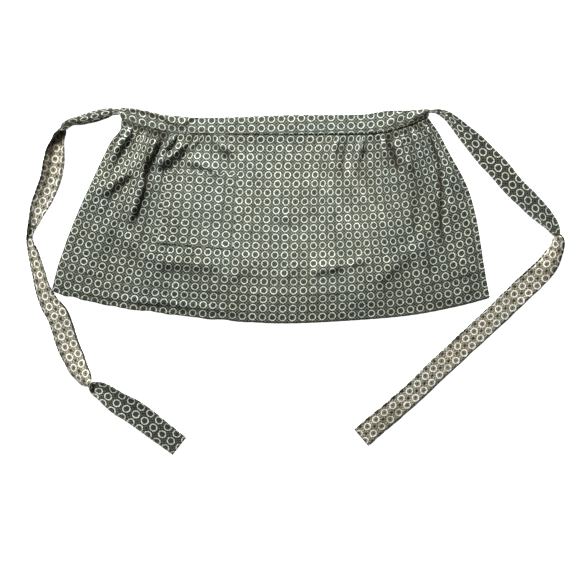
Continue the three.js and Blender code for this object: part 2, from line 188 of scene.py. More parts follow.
# Unevenness: height, spacing, seed, octaves
NOISES = dict(
    stray_x=(1.5, 30, 31, 2), stray_y=(1.5, 30, 37, 2), fade=(0.16, 80, 61, 2), fray=(1.0, 13, 83, 2),
    sway=(1.4, 48, 3, 3), rumple=(0.5, 17, 5, 2), ease=(3.6, 22, 13, 2), pucker=(1.1, 9, 11, 2),
    band=(1.0, 26, 21, 3), seam=(0.5, 8, 23, 2), pocket=(0.35, 30, 41, 2), pleat=(1.7, 7, 0, 2),
    ripple=(0.5, 24, 9, 3), tie_edge=(0.5, 17, 4, 2))

# Ring print: repeat across and along, and where one ring sits on each piece's cloth
PITCH = (15.0, 13.3)
SKIRT_RING = (277.0, 273.0)
BAND_RING = (109.0, 7.3)
BAND_STRETCH = 1.006
BAND_SLANT = 0.025  # how far off its grain the waistband is cut
SLANT_FROM = -142.0
POCKET_SHIFT = 1.6  # how far the pocket's print misses the skirt's
TIE_RING = 4.0
TIE_STRETCH = (1.1, 1.03)  # how far the ties have pulled long and wide

# x, top edge, seam
BAND = np.array([
    (-261, 260.6, 245.5), (-245, 260.0, 239.2), (-224, 256.6, 232.2), (-194, 250.0, 225.3),
    (-164, 247.4, 221.6), (-127, 245.6, 220.2), (-7, 249.6, 219.8), (94, 250.2, 220.5),
    (122, 253.6, 222.1), (143, 256.4, 224.4), (170, 256.6, 233.0), (188, 258.2, 241.2),
    (201, 259.0, 247.4)], float)

# x, y of the hem's edge
HEM = np.array([
    (-364.5, -15.5), (-291.7, -33.7), (-201.7, -47.2), (-111.7, -57.7), (-18.7, -63.1),
    (86.2, -58.6), (176.2, -50.6), (248.2, -36.7), (293.2, -24.7)], float)

# share of the width, lean at the seam, lean at the hem
LEAN = np.array([
    (0.0, -25, -12), (0.22, -15, -10), (0.42, -4, -4), (0.64, 0, 0), (0.82, 10, 8),
    (1.0, 42, 13)], float)

# at, left flank, right flank, turn, lapped side, reach, drift, share of the gathered width
FOLDS = [
    (24, 13, 13, 72, 1, 0.3, -20, 12.3), (72, 16, 16, 50, 1, 0.2, 0, 25.1),
    (140, 16, 16, 84, 1, 0.16, -110, 18.1), (198, 13, 13, 40, 1, 0.13, -160, 16.1),
    (232, 12, 12, 58, 1, 0.14, 160, 9.1), (430, 12, 13, 40, 1, 0.24, -30, 12.0),
    (482, 13, 11, 66, -1, 0.2, -20, 15.0), (530, 12, 14, 70, 1, 0.2, 30, 16.0),
    (576, 12, 12, 72, 1, 0.26, 40, 17.0), (612, 13, 12, 54, -1, 0.22, -20, 14.0),
    (650, 13, 12, 62, 1, 0.3, -20, 18.6)]

# at, half width, height, from, middle and to level
SWELLS = [
    (48, 34, 3.2, 0.30, 0.62, 0.98), (150, 40, 3.4, 0.63, 0.79, 0.97),
    (262, 36, 2.4, 0.64, 0.80, 0.97), (418, 34, 3.2, 0.56, 0.76, 0.98),
    (505, 40, 4.0, 0.44, 0.70, 0.97), (572, 26, 3.6, 0.48, 0.66, 0.96),
    (636, 26, 3.2, 0.62, 0.80, 0.98)]

# x, y, roll, curl, share of the flat width, how far the print sits off the middle
TIE_LEFT = np.array([
    (-246, 253.0, 0, 0, 0.2, 0), (-265.5, 254.2, 0, 0, 0.28, 0), (-274, 254.4, 0, -60, 0.36, 0),
    (-283, 252.2, 0, -80, 0.5, 0), (-299, 247.4, 0, -90, 0.58, 0),
    (-317, 242.8, 0, -80, 0.5, 0), (-333.5, 239.0, 14, -110, 0.44, 0),
    (-343, 230.5, 70, -170, 0.85, 0), (-349, 221.5, 125, -170, 0.88, 0),
    (-353.5, 211.0, 162, -120, 0.72, 0), (-357.5, 195.0, 178, -100, 0.96, 0),
    (-360, 173.5, 180, -95, 1.1, 0), (-367.3, 143.5, 180, -90, 1.06, 0),
    (-378.5, 118.0, 178, -90, 0.95, 0), (-388, 92.5, 168, -150, 0.74, 0),
    (-396, 67.0, 165, -210, 0.5, 0), (-391.2, 46.0, 172, -140, 0.6, 0),
    (-384, 19.0, 180, -100, 0.66, 0), (-378.2, -4.0, 180, -80, 0.72, 0),
    (-369.5, -28.0, 180, -50, 0.86, 2.5), (-354.5, -52.0, 180, 0, 1.02, 5),
    (-342, -87.5, 180, 0, 1.04, 5), (-329.5, -117.5, 184, 40, 1, 5),
    (-319, -136.5, 200, 90, 0.98, 5), (-309.5, -149.5, 226, 120, 1, 4),
    (-301, -156.5, 300, 120, 1, 2), (-285, -165.7, 335, 90, 0.94, 0),
    (-261.5, -182.8, 352, 50, 1.06, -1.5), (-228.5, -203.5, 360, 30, 1.12, -1.5),
    (-172.7, -247.2, 360, 0, 1, -1.5)], float)
TIE_RIGHT = np.array([
    (187, 252.8, 0, 0, 0.15, 0), (205.5, 255.0, 0, 0, 0.16, 0), (216, 254.6, 0, 30, 0.25, 0),
    (230, 247.4, 0, 60, 0.44, 0), (248.5, 229.5, 0, 50, 0.68, 0), (272.5, 204.5, 0, 30, 0.92, 0),
    (302.6, 172.6, 0, 0, 1.02, 0), (333.2, 138.2, 0, 0, 0.97, 0), (361.2, 110.0, -8, 40, 0.95, 0),
    (381.5, 87.6, -30, 100, 0.92, 0), (390.6, 73.5, -62, 140, 1, 0),
    (393.4, 62.0, -122, 140, 1, 0), (389.6, 44.5, -152, 100, 0.9, 0),
    (376.6, 22.2, -172, 40, 0.98, 2), (351.0, -3.4, -180, 0, 1.05, 3.6),
    (299, -53.5, -180, 0, 1.02, 4.4), (223.2, -123.6, -180, 0, 1, 5.2),
    (166.2, -177.6, -180, 0, 0.98, 6), (100, -234.0, -180, 0, 1.02, 6.6)], float)

# x and y of places that more than one line of the tables below runs through
LEFT_FOLD = (-224, 155, -224, 143, -226, 130, -232, 113, -236, 101)
RIGHT_FOLD = (206, 211, 212, 188, 218, 169, 219, 137, 220, 100, 220, 52)

# Creases of the laid cloth: height (below 0 a valley), half width towards and away from the
# light, and x and y of each place that the crease runs through
CREASES = [
    (10.5, 19, 4.6, -205, 224, -215, 201, -221, 179, -227, 156, -229, 138, -236, 116, -247, 90),
    (5, 11, 9, -197, 223, -206, 200, -214, 179), (-6, 2.7, 2.7, -208, 226, -215, 200, -220, 178),
    (-6, 2.7, 2.7, -194, 224, -203, 202, -212, 181),
    (-3.6, 2.8, 2.8, -218, 178, -224, 155, -226, 137, -233, 115, -244, 89),
    (7.8, 9, 4.6, -152, 223, -168, 201, -184, 188, -207, 173),
    (5.6, 8, 5.5, -141, 221, -122, 217, -108, 208, -94, 189),
    (4.2, 13, 6, -166, 183, -142, 177, -113, 165),
    (7, 16, 7, -226, 186, -238, 172, -253, 159, -268, 146, -289, 129),
    (2.2, 6, 4, -349, -8, -292, -22, -217, -31, -142, -38, -82, -46),
    (0.8, 7, 6, -237, 230, -248, 215, -262, 200), (2.4, 8, 6, -283, 121, -292, 106),
    (4.6, 24, 10, -266, 81, -245, 60, -225, 43, -203, 32, -168, 29, -131, 27, -99, 7),
    (0.8, 11, 6, -56, 21, -82, 11, -105, 0), (-1.4, 4, 4, -167, 97, -155, 82, -145, 68),
    (1.6, 8, 5, -111, 124, -115, 93, -118, 58), (-1.4, 3, 3, -106, 59, -91, 70),
    (-1, 2.2, 2.2, -59, 146, -60, 110, -62, 76), (3.8, 9, 9, 77, 178, 89, 152, 107, 122, 133, 86),
    (-1.8, 9, 8, 47, 175, 64, 146, 83, 116, 107, 86), (-4.6, 4.5, 4.5, 133, 217, 145, 194, 157, 166),
    (5, 6, 8, 149, 218, 161, 194, 173, 167), (-1, 6, 6, 101, 197, 116, 184),
    (-3.8, 5.5, 5.5, 185, 170, 184, 122, 179, 65),
    (3.6, 9, 12, 223, 200, 227, 164, 230, 115, 226, 52), (-3.4, 2.6, 2.6, *RIGHT_FOLD),
    (3.2, 16, 8, 183, 53, 158, 28, 116, -5), (3.6, 14, 6, 115, 35, 85, 24, 60, 20, 23, 15),
    (-3.8, 4.5, 5, 194, 41, 200, 23, 205, 5), (1.8, 9, 7, 8, 31, -9, 14, -21, -2),
    (1.2, 10, 10, 8, 152, 53, 130), (-1.1, 9, 9, -37, 85, 23, 77),
    (-1.6, 2.5, 2.5, 77, 218, 73, 194, 68, 167), (1.8, 12, 12, -302, 40, -284, -13),
    (1.4, 12, 12, 53, -16, 128, -28), (1.4, 10, 10, -172, -22, -217, -28),
    (1.6, 10, 10, 218, 40, 236, -5)]
BAND_CREASES = [
    (1.8, 5, 3.5, -153, 248, -160, 239, -168, 230), (1.5, 5, 3.5, -200, 256, -189, 247, -182, 235),
    (1.5, 4.5, 3.5, -231, 262, -215, 254, -200, 243), (1, 4, 3, -218, 247, -236, 238),
    (3.2, 6, 4, 199, 255, 184, 246, 169, 236), (1.6, 5, 4, 155, 249, 143, 237, 135, 226),
    (1.1, 5, 4, 115, 247, 105, 230), (0.9, 4, 3, -87, 245, -93, 233), (0.8, 5, 4, 6, 245, -6, 229)]
# Lines of painted shade where the folds cast shadow: share taken off the colour (below 0 it is
# added, as painted light), half width, and x and y of each place
CREASE_SHADE = [
    (0.6, 2.6, -196, 248, -206, 223, -214, 202, -220, 182, -223, 164),
    (0.6, 2.6, -185, 245, -197, 220, -206, 197, -215, 178, -223, 158),
    (0.4, 1.6, -178, 239, -190, 215, -202, 191, -214, 170),
    (0.3, 7, -187, 245, -200, 218, -211, 194, -220, 170),
    (0.6, 2.2, -217, 185, -222, 170, *LEFT_FOLD, -247, 80),
    (0.12, 7, -221, 173, *LEFT_FOLD, -244, 86),
    (0.2, 5, -137, 236, -152, 218, -166, 203, -184, 191, -202, 173),
    (0.4, 1.8, -137, 236, -151, 218, -163, 206, -178, 196),
    (0.3, 5, -142, 217, -124, 214, -110, 205, -97, 187), (0.25, 5, -167, 179, -143, 173, -115, 161),
    (0.1, 9, -223, 182, -235, 169, -250, 155, -265, 142, -286, 125),
    (0.55, 1.6, -218, 242, -229, 230, -243, 212, -255, 196, -274, 170),
    (0.25, 6, -217, 227, -236, 203, -248, 187),
    (0.75, 3, -284, 252, -262, 243, -245, 236, -224, 229, -205, 224, -186, 219),
    (0.5, 3, -262, 247, -261, 232, -262, 218, -270, 204, -280, 188),
    (-0.2, 9, -206, 218, -222, 205, -240, 190, -256, 175, -272, 160),
    (0.2, 10, 89, 183, 101, 159, 119, 130, 144, 94),
    (0.5, 4, 133, 230, 140, 212, 145, 199, 148, 178, 158, 158),
    (0.15, 9, 133, 217, 145, 194, 157, 166), (0.2, 5, 107, 221, 110, 197, 113, 182),
    (0.3, 12, 185, 170, 184, 122, 179, 65), (0.9, 1.9, 194, 254, *RIGHT_FOLD),
    (0.25, 6, 199, 241, *RIGHT_FOLD), (0.2, 9, 194, 41, 200, 23, 205, 5),
    (0.75, 1.6, 82, 232, 79, 218, 74, 196, 69, 172, 71, 154),
    (0.55, 1.5, 63, 229, 61, 218, 58, 208, 56, 193),
    (0.5, 5, 212, 248, 197, 239, 176, 229, 155, 220, 134, 215)]
# painted shade along the waistband's creases, seam and ends, with painted light where the share is below
# 0
BAND_SHADE = [
    (0.8, 1.9, -140, 251, -149, 244, -157, 239, -166, 233, -175, 227),
    (0.9, 2.3, -259, 259, -245, 256, -232, 254, -214, 250, -202, 246, -193, 241, -181, 235, -166, 230),
    (-0.35, 1.6, -282, 256, -262, 248, -245, 242, -224, 235, -194, 228, -168, 224),
    (0.7, 4.5, 218, 257, 205, 251, 188, 244, 170, 236, 149, 227, 134, 221),
    (0.3, 3, 92, 224, 107, 226, 134, 229, 155, 239, 173, 250)]
# painted shade on the ties: a shaded half, a shadowed edge and crushed end
TIE_SHADE = [
    (0.6, 7, -349, 227, -364, 197, -370, 179, -374, 157, -380, 137, -385, 121),
    (0.6, 8, -318, 240, -336, 238, -347, 230, -354, 217, -362, 203, -368, 188),
    (1.0, 2.2, -341, 205, -343, 186, -347, 166, -352, 147, -358, 128),
    (0.85, 3, -345, 232, -322, 235, -303, 239, -288, 243, -276, 250, -268, 256),
    (0.35, 5, 116, -226, 136, -208, 161, -187)]

TINY = 1e-9


def ramp(value, low, high):
    """Smooth step from 0 at low to 1 at high."""
    share = np.clip((np.asarray(value, float) - low) / (high - low), 0.0, 1.0)
    return share * share * (3 - 2 * share)


def bell(value, middle, spread):
    return np.exp(-((value - middle) / spread) ** 2)


def pairs(first, second):
    return np.stack([first, second], axis=-1)


def run(places):
    """Distance along a line of places in plan."""
    return np.r_[0, np.cumsum(np.hypot(*np.diff(places, axis=0).T))]


def unit(vectors):
    return vectors / np.maximum(TINY, np.linalg.norm(vectors, axis=-1, keepdims=True))


def blend(values, i, j, i1, j1, s, t):
    """Values between four grid points."""
    low = values[i, j] * (1 - s) + values[i1, j] * s
    high = values[i, j1] * (1 - s) + values[i1, j1] * s
    return low * (1 - t) + high * t


def spline(t, start, end, leave, reach):
    """Places on curves that leave one place and reach another in given directions."""
    return ((2 * start - 2 * end + leave + reach) * t ** 3
            + (3 * end - 3 * start - 2 * leave - reach) * t ** 2 + leave * t + start)


def along(rows, key, place):
    """A table's column at places along its first column, with smooth steps between rows."""
    at = rows[:, 0]
    i = np.clip(np.searchsorted(at, place, side="left"), 1, len(at) - 1)
    share = ramp((place - at[i - 1]) / (at[i] - at[i - 1]), 0.0, 1.0)
    return rows[i - 1, key] + (rows[i, key] - rows[i - 1, key]) * share


class Curve:
    """Uniform spline through points, read by place in rows or by share of its length."""

    def __init__(self, points):
        self.points = np.asarray(points, float)
        self.fine = np.linspace(0, len(self.points) - 1, 4001)
        self.arc = run(self.at(self.fine)[:, :2])
        self.length = self.arc[-1]

    def at(self, place):
        p, last = self.points, len(self.points) - 1
        i = np.clip(np.floor(place).astype(int), 0, last - 1)
        before, start = p[np.maximum(i - 1, 0)], p[i]
        end, after = p[i + 1], p[np.minimum(i + 2, last)]
        return spline((place - i)[:, None], start, end, (end - before) / 2, (after - start) / 2)

    def share(self, s):
        return self.at(np.interp(np.asarray(s) * self.length, self.arc, self.fine))


seam_curve = Curve(BAND[:, [0, 2]])
top_curve = Curve(BAND[:, [0, 1]])
hem_curve = Curve(HEM)


def noise(points, kind, more=0):
    """Smooth value noise from a seeded lattice, over pairs of coordinates."""
    height, scale, seed, octaves = NOISES[kind]
    size, offset, gain = 64, 17.3, 1.6
    flat = points.reshape(-1, 2)
    total = np.zeros(len(flat))
    weight, top = 1.0, 0.0
    for octave in range(octaves):
        lattice = np.random.default_rng(seed + more + octave).uniform(-1, 1, (size, size))
        place = flat * (2 ** octave) / scale + offset * (octave + 1)
        cell = np.floor(place).astype(int)
        part = place - cell
        part = part * part * part * (part * (part * 6 - 15) + 10)
        a, b = cell[:, 0] % size, cell[:, 1] % size
        total += weight * blend(lattice, a, b, (a + 1) % size, (b + 1) % size, *part.T)
        top += weight
        weight *= 0.5
    return (height * (total / top * gain)).reshape(points.shape[:-1])


# Folds of the skirt. A flank turns most in its middle, and its rise follows from its turn
FLANK_PARTS = 48
flank_turns = np.linspace(0, OPEN_TURN, 600)
flank_steps = np.sin(np.pi * (np.arange(FLANK_PARTS) + 0.5) / FLANK_PARTS) ** 2
flank_rise = np.sin(flank_turns[:, None] * flank_steps[None, :]).mean(axis=1)
KNOT_STEP = 0.5
KNOTS = np.arange(0, SKIRT_WIDTH + KNOT_STEP / 2, KNOT_STEP)
ALL_SHARES = sum(fold[7] for fold in FOLDS)
HALVINGS = 30


def flank_angles(fold, driven):
    """Angles of a fold's left and right flank when the lapped one turns by driven."""
    left, right, laps = fold[1], fold[2], fold[4]
    near, far = (right, left) if laps > 0 else (left, right)
    rise = np.sin(driven * flank_steps).mean() * near / far
    matched = float(np.interp(rise, flank_rise, flank_turns))
    return (matched, driven) if laps > 0 else (driven, matched)


def stored(fold, driven):
    """Width of cloth that a fold takes up."""
    up, down = flank_angles(fold, driven)
    return (fold[1] * (1 - np.cos(up * flank_steps).mean())
            + fold[2] * (1 - np.cos(down * flank_steps).mean()))


def laid_row(level):
    """Share of the plan width used up to each knot of a row, the folds' height there, and how
    densely the rest of the gathered cloth is eased in."""
    middle = (KNOTS[:-1] + KNOTS[1:]) / 2
    angle, eased = np.zeros(len(middle)), np.zeros(len(middle))
    feet = [0.0, SKIRT_WIDTH]
    excess = max(0.0, SKIRT_WIDTH - run(column_points(np.linspace(0, 1, 200), level))[-1])
    for fold in FOLDS:
        at, left, right, turn, _, reach, drift, part = fold
        driven = math.radians(turn) * float(1 - ramp(level, reach * FOLD_HOLD, reach))
        room = excess * part / ALL_SHARES
        if stored(fold, driven) > room:
            low, high = 0.0, driven
            for _ in range(HALVINGS):
                driven = (low + high) / 2
                low, high = (driven, high) if stored(fold, driven) < room else (low, driven)
        up, down = flank_angles(fold, driven)
        crest = at + drift * min(level, reach)
        offset = middle - crest
        share = offset / np.where(offset < 0, left, right)
        bend = np.where(offset < 0, up, -down) * np.sin(np.pi * share) ** 2
        angle += np.where(np.abs(share) < 1, bend, 0.0)
        if driven > LEAST_TURN:
            feet += [crest - left, crest + right]
        kernel = np.cos(np.clip(offset / EASE_REACH, -1, 1) * np.pi / 2) ** 2
        eased += (room - stored(fold, driven)) * kernel / (kernel.sum() * KNOT_STEP)
    used = np.r_[0, np.cumsum(KNOT_STEP * (np.cos(angle) - eased))]
    climb = np.r_[0, np.cumsum(KNOT_STEP * np.sin(angle))]
    feet = np.sort(feet)
    ground = np.interp(KNOTS, feet, np.interp(feet, KNOTS, climb))
    return used / used[-1], np.maximum(0, climb - ground), np.r_[eased[0], eased]


def swell_height(across, level):
    height = np.zeros_like(across)
    for at, half, tall, start, middle, end in SWELLS:
        share = (across - at) / half
        fade = ramp(level, start, middle) * (1 - ramp(level, middle, end))
        height += np.where(np.abs(share) < 1, tall * fade * 0.5 * (1 + np.cos(np.pi * share)), 0)
    return height


def seam_points(share):
    inset = SIDE_INSET / seam_curve.length
    return seam_curve.share(inset + share * (1 - 2 * inset))


def column_points(share, level):
    """Plan of a row at one level: each column is a curve from the seam to the hem."""
    steps = 48
    start, end = seam_points(share), hem_curve.share(share)
    drop = (start[:, 1] - end[:, 1])[:, None]
    leave, reach = (pairs(np.tan(np.radians(along(LEAN, key, share))), -np.ones_like(share)) * drop
                    for key in (1, 2))
    t = np.linspace(0, 1, steps + 1)[:, None, None]
    path = spline(t, start, end, leave, reach)
    moves = np.diff(path, axis=0)
    arc = np.cumsum(np.hypot(moves[..., 0], moves[..., 1]), axis=0)
    arc = np.vstack([np.zeros(len(share)), arc])
    wanted = level * arc[-1]
    low = np.clip((arc < wanted).sum(axis=0) - 1, 0, steps - 1)
    column = np.arange(len(share))
    part = (wanted - arc[low, column]) / (arc[low + 1, column] - arc[low, column])
    return path[low, column] + (path[low + 1, column] - path[low, column]) * part[:, None]


def crease_height(plan, creases):
    """Wrinkles that the cloth keeps where it lies: ridges and valleys along the creases."""
    stray = pairs(noise(plan, "stray_x"), noise(plan, "stray_y"))
    flat = (plan + stray).reshape(-1, 2)
    total = np.zeros(len(flat))
    for tall, lit, dark, *places in creases:
        places = np.reshape(places, (-1, 2)).astype(float)
        reach = run(places)
        best = np.full(len(flat), np.inf)
        part, turned = np.zeros(len(flat)), np.zeros(len(flat))
        for k, (start, end) in enumerate(zip(places[:-1], places[1:])):
            line = end - start
            low = -CREASE_OVERRUN * (k == 0)
            high = 1 + CREASE_OVERRUN * (k == len(places) - 2)
            share = np.clip((flat - start) @ line / (line @ line), low, high)
            gap = flat - start - share[:, None] * line
            away = np.hypot(gap[:, 0], gap[:, 1])
            nearer = away < best
            best = np.where(nearer, away, best)
            part = np.where(nearer, (reach[k] + share * (reach[k + 1] - reach[k])) / reach[-1], part)
            turned = np.where(nearer, (gap @ FROM_LIGHT) / np.maximum(away, TINY), turned)
        half = lit + (dark - lit) * ramp(turned, -LIGHT_BLUR, LIGHT_BLUR)
        fade = ramp(part, *CREASE_END) * ramp(1 - part, *CREASE_END)
        total += tall * fade * bell(best, 0, half)
    return total.reshape(plan.shape[:-1])


def hollows(grid, reach):
    """How far each place lies below the cloth around it."""
    padded = np.pad(grid[..., 2], [(count, count) for count in reach], mode="edge")
    windows = np.lib.stride_tricks.sliding_window_view(padded, [2 * count + 1 for count in reach])
    return windows.mean(axis=(2, 3)) - grid[..., 2]


def painted_shade_values(plan, lines, hollow=0.0):
    """What the fade layer holds for painted shade, which lies in hollows and along lines, with painted
    light on crests.
    """
    rows = [(share, half, half, *places) for share, half, *places in lines]
    return np.clip(UNSHADED + (HOLLOW_SHADE * hollow + crease_height(plan, rows)), *SHADE_RANGE)


def wash_and_shade_layer(plan, hollow):
    """How washed out the print is, most in the middle of the apron, partly real fading and partly
    painted light that leaves the sides darker, and the painted shade.
    """
    away = np.hypot(*np.moveaxis((plan - WASHED_LIT_MIDDLE) / WASHED_LIT_SIZE, -1, 0))
    away += noise(plan, "fade")
    return pairs(ramp(away, *WASHED_LIT_ZONE), painted_shade_values(plan, CREASE_SHADE, hollow))


def washed_shade_layer(plan, lines):
    """The same for cloth that is washed out all over, with painted shade and light along its lines."""
    return pairs(np.ones(plan.shape[:-1]), painted_shade_values(plan, lines))


def skirt_grid(columns, levels):
    """Middle of the skirt's cloth at columns and levels, and how densely it is eased in there."""
    grid = np.zeros((len(columns), len(levels), 3))
    eased = np.zeros((len(columns), len(levels)))
    for j, level in enumerate(levels):
        knots = laid_row(max(0.0, level))
        share, height, eased[:, j] = (np.interp(columns, KNOTS, values) for values in knots)
        if level <= 0:
            plan = seam_points(share)
            top = along(BAND, 1, plan[:, 0])
            tuck = TUCK_END + (TUCK - TUCK_END) * np.minimum(1, TUCK_RISE * share * (1 - share))
            plan[:, 1] += (top - plan[:, 1]) * tuck * -level
        else:
            plan = column_points(share, level)
            for bow, at, spread, start, end in SIDE_BOWS:
                plan[:, 0] += bow * bell(level, at, spread) * ramp(columns, start, end)
            frayed = noise(pairs(columns, np.zeros_like(columns)), "fray")
            plan[:, 1] += frayed * ramp(level, *HEM_ZONE) * ramp(columns, *FRAY_ZONE)
        out = ramp(level, *GATHER_ZONE)
        grid[:, j, :2] = plan
        grid[:, j, 2] = (FLOOR_REST + LAYER_STEP * (1 - out) + height * out
                         + swell_height(columns, level))
    return grid, eased


# Meshes
def normals(grid):
    return unit(np.cross(np.gradient(grid, axis=1), np.gradient(grid, axis=0)))


def raised(grid, by):
    return grid + normals(grid) * np.broadcast_to(by, grid.shape[:2])[..., None]


def numbers(grid):
    return np.arange(grid.shape[0] * grid.shape[1]).reshape(grid.shape[:2])


def quads(at):
    """Faces between the rows and columns of a grid of point numbers."""
    return np.stack([at[:-1, :-1], at[:-1, 1:], at[1:, 1:], at[1:, :-1]], axis=2).reshape(-1, 4)


def link(name, data):
    made = bpy.data.objects.new(name, data)
    bpy.context.collection.objects.link(made)
    return made


def make_mesh(name, points, faces, layers, material_of, materials):
    data = bpy.data.meshes.new(name)
    data.from_pydata((points * MM).tolist(), [], faces.tolist())
    loops = np.zeros(len(data.loops), np.int32)
    data.loops.foreach_get("vertex_index", loops)
    for key, values in layers.items():
        layer = data.uv_layers.new(name=key)
        layer.data.foreach_set("uv", values[loops].astype(np.float32).ravel())
    for material in materials:
        data.materials.append(material)
    data.polygons.foreach_set("material_index", material_of.astype(np.int32))
    data.polygons.foreach_set("use_smooth", np.ones(len(data.polygons), bool))
    data.update()
    return link(name, data)


def shell(name, grid, below, above, layers, materials):
    """Closed cloth around a grid of mid-surface points: face, back and rim."""
    points = np.vstack([raised(grid, by).reshape(-1, 3) for by in (above, -below)])
    at = numbers(grid)
    front = quads(at)
    rims = []
    for line in (at[::-1, 0], at[:, -1], at[0, :], at[-1, ::-1]):
        p, q = line[:-1], line[1:]
        rims.append(np.stack([q, p, p + at.size, q + at.size], axis=1))
    faces = np.vstack([front, front[:, ::-1] + at.size] + rims)
    material_of = np.zeros(len(faces))
    material_of[len(front):2 * len(front)] = 1
    layers = {key: np.vstack([values.reshape(-1, 2)] * 2) for key, values in layers.items()}
    return make_mesh(name, points, faces, layers, material_of, materials)


class Patch:
    """Face of a cloth piece, read anywhere between its grid points."""

    def __init__(self, grid, above, a, b):
        self.up = normals(grid)
        self.face = raised(grid, above)
        self.a, self.b = a, b

    def at(self, a, b):
        i = np.clip(np.searchsorted(self.a, a) - 1, 0, len(self.a) - 2)
        j = np.clip(np.searchsorted(self.b, b) - 1, 0, len(self.b) - 2)
        s = ((a - self.a[i]) / (self.a[i + 1] - self.a[i]))[:, None]
        t = ((b - self.b[j]) / (self.b[j + 1] - self.b[j]))[:, None]
        return [blend(values, i, j, i + 1, j + 1, s, t) for values in (self.face, self.up)]

    def heights(self, plan):
        """Height of the face over places in plan."""
        faces = quads(numbers(self.face)).tolist()
        tree = BVHTree.FromPolygons(self.face.reshape(-1, 3).tolist(), faces)
        down, from_height = Vector((0, 0, -1)), 100.0
        found = [tree.ray_cast(Vector((x, y, from_height)), down)[0].z for x, y in plan.reshape(-1, 2)]
        return np.array(found).reshape(plan.shape[:-1])

    def nearest(self, spot):
        """Cloth coordinates of the grid point nearest to a place in plan."""
        away = np.hypot(self.face[..., 0] - spot[0], self.face[..., 1] - spot[1])
        i, j = np.unravel_index(np.argmin(away), away.shape)
        return self.a[i], self.b[j]


def stitches(name, patch, lines, material):
    """Rows of sewing thread: each stitch comes out of the cloth, lies on it and goes back in."""
    angles = np.linspace(0, 2 * np.pi, THREAD_SIDES + 1)[:-1][None, :, None]
    at = np.arange(len(STITCH_SPOTS) * THREAD_SIDES).reshape(-1, THREAD_SIDES)
    tube_faces = quads(np.hstack([at, at[:, :1]]))
    fine = np.linspace(0, 1, 800)
    tubes = []
    for line in lines:
        knots = np.linspace(0, 1, len(line))
        place, up = patch.at(*(np.interp(fine, knots, values) for values in zip(*line)))
        arc = np.r_[0, np.cumsum(np.linalg.norm(np.diff(place, axis=0), axis=1))]
        for start in np.arange(STITCH_END, arc[-1] - STITCH_LENGTH - STITCH_END, STITCH_PITCH):
            spots = start + STITCH_LENGTH * STITCH_SPOTS
            middle, normal = (np.stack([np.interp(spots, arc, row) for row in values.T], axis=1)
                              for values in (place, up))
            side = np.cross(normal, unit(np.gradient(middle, axis=0)))
            middle += normal * STITCH_LIFT[:, None]
            turn = np.cos(angles) * side[:, None, :] + np.sin(angles) * normal[:, None, :]
            tubes.append((middle[:, None, :] + THREAD * turn).reshape(-1, 3))
    points = np.vstack(tubes)
    faces = np.vstack([tube_faces + k * at.size for k in range(len(tubes))])
    return make_mesh(name, points, faces, {"cloth": points[:, :2]}, np.zeros(len(faces)), [material])


# Materials
class Tree:
    """Short hand for a material's nodes."""

    def __init__(self, tree):
        self.tree = tree

    def node(self, kind, **settings):
        made = self.tree.nodes.new(kind)
        for key, value in settings.items():
            setattr(made, key, value)
        return made

    def fill(self, node, inputs):
        """Links or constants for a node's inputs."""
        for key, value in inputs.items():
            if isinstance(value, bpy.types.NodeSocket):
                self.tree.links.new(value, node.inputs[key])
            else:
                node.inputs[key].default_value = value
        return node.outputs

    def math(self, operation, *values, kind="ShaderNodeMath"):
        return self.fill(self.node(kind, operation=operation), dict(enumerate(values)))[0]

    def times(self, a, b):
        return self.math("MULTIPLY", a, b)

    def plus(self, a, b):
        return self.math("ADD", a, b)

    def minus(self, a, b):
        return self.math("SUBTRACT", a, b)

    def step(self, value, low, high):
        made = self.node("ShaderNodeMapRange", interpolation_type="SMOOTHSTEP")
        return self.fill(made, {"Value": value, "From Min": low, "From Max": high})[0]

    def until(self, value, low, high):
        return self.minus(1.0, self.step(value, low, high))

    def mix(self, share, a, b, kind="MIX"):
        made = self.node("ShaderNodeMix", data_type="RGBA", blend_type=kind)
        return self.fill(made, {0: share, 6: a, 7: b})[2]

    def noise(self, where, scale, detail=2.0, rough=0.5, output="Fac"):
        made = self.node("ShaderNodeTexNoise")
        inputs = {"Vector": where, "Scale": scale, "Detail": detail, "Roughness": rough}
        return self.fill(made, inputs)[output]

    def axes(self, vector):
        return self.fill(self.node("ShaderNodeSeparateXYZ"), {0: vector})

    def layer(self, name):
        return self.node("ShaderNodeUVMap", uv_map=name).outputs[0]


def srgb(red, green, blue):
    def linear(value):
        value /= 255
        return value / 12.92 if value <= 0.04045 else ((value + 0.055) / 1.055) ** 2.4
    return linear(red), linear(green), linear(blue), 1.0


# Colours of the print, and a ring's inner and outer radius, how soft its edges are and how
# large the diamonds
RIGHT_SIDE = dict(ground=srgb(58, 62, 52), lattice=srgb(134, 139, 126), diamond=srgb(40, 44, 34),
                  outline=srgb(24, 28, 18), middle=srgb(52, 57, 46), ring=srgb(245, 249, 236),
                  inner=4.06, outer=5.5, soft=0.28, spot=0.23)
TIE_SIDE = dict(RIGHT_SIDE, ground=srgb(30, 33, 24), lattice=srgb(84, 88, 77), diamond=srgb(14, 17, 10),
                outline=srgb(13, 16, 9), middle=srgb(36, 40, 30), ring=srgb(222, 225, 213))
WRONG_SIDE = dict(ground=srgb(104, 98, 78), lattice=srgb(204, 198, 176), diamond=srgb(24, 21, 13),
                  outline=srgb(60, 55, 43), middle=srgb(64, 59, 47), ring=srgb(255, 253, 245),
                  inner=3.4, outer=5.3, soft=0.36, spot=0.42)

